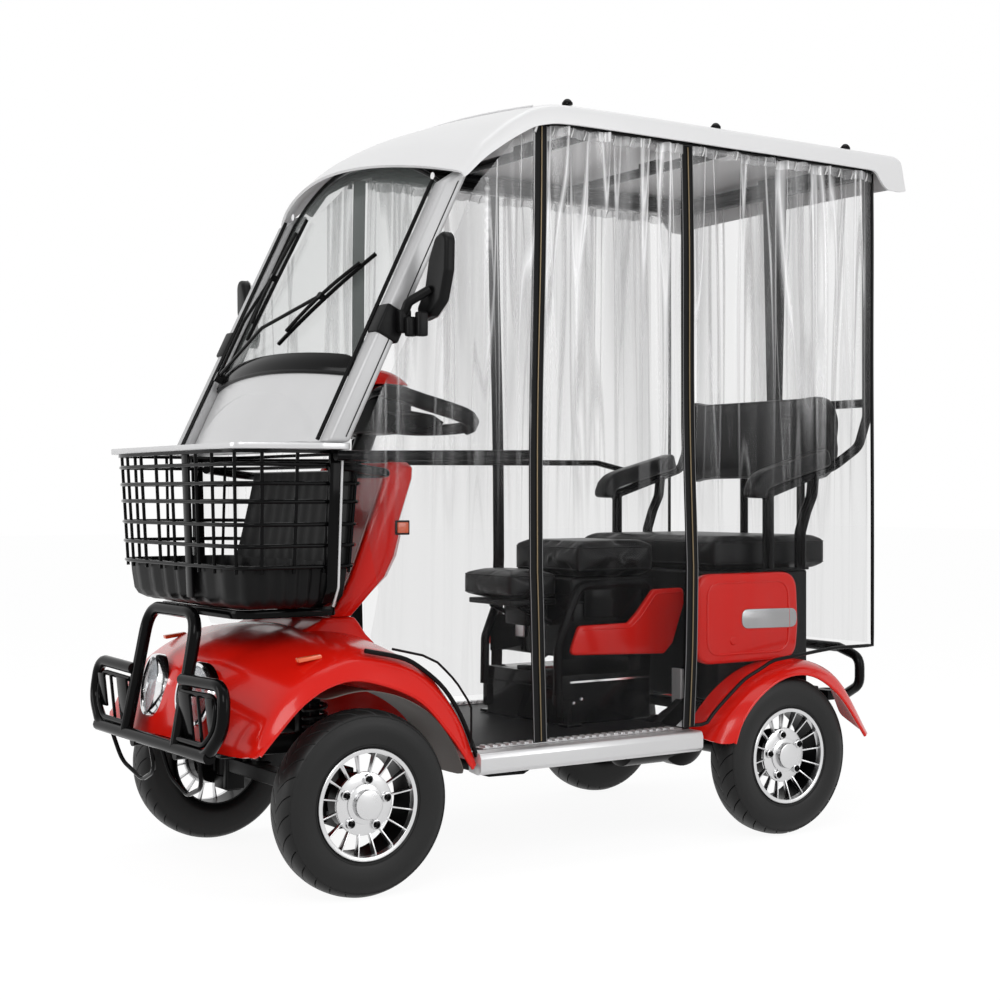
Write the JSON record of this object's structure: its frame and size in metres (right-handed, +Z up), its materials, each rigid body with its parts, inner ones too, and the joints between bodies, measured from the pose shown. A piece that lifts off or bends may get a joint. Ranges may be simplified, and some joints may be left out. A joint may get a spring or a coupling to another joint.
{
  "type": "electric mobility scooter",
  "caption": "Electric mobility scooter on wheels, with a roof, windscreen and clear curtains, a front basket and bull bar, a driver's seat and a rear bench over a locker.",
  "frame": {"origin": "the middle of the overall length and width, on the ground", "axes": "+Z up, front of the vehicle towards -Y, the rider's left towards +X"},
  "size_m": [0.9876, 1.8459, 1.681],
  "materials": {
    "red_body": "gloss",
    "white_roof": "gloss",
    "silver_frame": "satin",
    "black_steel": "gloss",
    "black_plastic": "satin",
    "seat_cover": "satin",
    "tyre_rubber": "matt",
    "wheel_alloy": "machined",
    "screen_glass": "clear",
    "curtain_film": "clear soft film",
    "lamp_lens": "clear",
    "lamp_red": "gloss"
  },
  "bodies": {
    "chassis": {"armrest_frame_left": "black_steel", "armrest_frame_right": "black_steel", "armrest_pad_left": "seat_cover", "armrest_pad_right": "seat_cover", "backrest": "seat_cover", "backrest_frame": "black_steel", "base_tray": "silver_frame", "basket": "black_steel", "basket_carrier": "black_steel", "box_cover_left": "red_body", "box_cover_right": "red_body", "bull_bar": "black_steel", "chassis_frame": "black_steel", "curtain_left": "curtain_film", "curtain_rear": "curtain_film", "curtain_right": "curtain_film", "floor_pan": "black_plastic", "front_axle": "black_steel", "front_body": "red_body", "front_seat": "seat_cover", "front_seat_stand": "black_plastic", "headlight_left": "lamp_lens", "headlight_right": "lamp_lens", "leg_shield": "red_body", "lower_panel": "silver_frame", "main_cushion": "seat_cover", "mirror_left": "black_plastic", "mirror_right": "black_plastic", "pillar_left": "silver_frame", "pillar_right": "silver_frame", "rear_axle": "black_steel", "rear_box": "black_plastic", "rear_mudguard_left": "red_body", "rear_mudguard_right": "red_body", "roof_frame": "black_steel", "roof_shell": "white_roof", "seat_base": "black_plastic", "side_panel_left": "red_body", "side_panel_right": "red_body", "side_rail_left": "black_steel", "side_rail_right": "black_steel", "sill_left": "silver_frame", "sill_right": "silver_frame", "tail_lamp_bar": "lamp_red", "windscreen": "screen_glass", "wipers": "black_steel"},
    "steering_bar": {"handlebar": "black_plastic", "console_cap": "red_body"},
    "knuckle_left": {"knuckle_left": "black_steel"},
    "knuckle_right": {"knuckle_right": "black_steel"},
    "wheel_front_left": {"tyre_front_left": "tyre_rubber", "rim_front_left": "wheel_alloy"},
    "wheel_front_right": {"tyre_front_right": "tyre_rubber", "rim_front_right": "wheel_alloy"},
    "wheel_rear_left": {"tyre_rear_left": "tyre_rubber", "rim_rear_left": "wheel_alloy"},
    "wheel_rear_right": {"tyre_rear_right": "tyre_rubber", "rim_rear_right": "wheel_alloy"},
    "bench_lid": {"rear_bench": "seat_cover"}
  },
  "joints": [
    {"name": "steer", "type": "hinge", "parent": "chassis", "child": "steering_bar", "pos_m": [0, -0.40014, 0.9], "axis": [0, 0.3616, 0.9323], "range_deg": [-35, 35]},
    {"name": "knuckle_turn_left", "type": "hinge", "parent": "chassis", "child": "knuckle_left", "pos_m": [0.285, -0.6, 0.19], "axis": [0, 0, 1], "range_deg": [-28, 28]},
    {"name": "knuckle_turn_right", "type": "hinge", "parent": "chassis", "child": "knuckle_right", "pos_m": [-0.285, -0.6, 0.19], "axis": [0, 0, 1], "range_deg": [-28, 28]},
    {"name": "spin_front_left", "type": "hinge", "parent": "knuckle_left", "child": "wheel_front_left", "pos_m": [0.3605, -0.6, 0.19], "axis": [1, 0, 0], "continuous": true},
    {"name": "spin_front_right", "type": "hinge", "parent": "knuckle_right", "child": "wheel_front_right", "pos_m": [-0.3605, -0.6, 0.19], "axis": [1, 0, 0], "continuous": true},
    {"name": "spin_rear_left", "type": "hinge", "parent": "chassis", "child": "wheel_rear_left", "pos_m": [0.3605, 0.55, 0.19], "axis": [1, 0, 0], "continuous": true},
    {"name": "spin_rear_right", "type": "hinge", "parent": "chassis", "child": "wheel_rear_right", "pos_m": [-0.3605, 0.55, 0.19], "axis": [1, 0, 0], "continuous": true},
    {"name": "bench_hinge", "type": "hinge", "parent": "chassis", "child": "bench_lid", "pos_m": [0, 0.432, 0.6283], "axis": [1, 0, 0], "range_deg": [0, 60]}
  ],
  "couplings": [
    {"joint": "knuckle_turn_left", "follows": "steer", "ratio": 0.79},
    {"joint": "knuckle_turn_right", "follows": "steer", "ratio": 0.79}
  ]
}
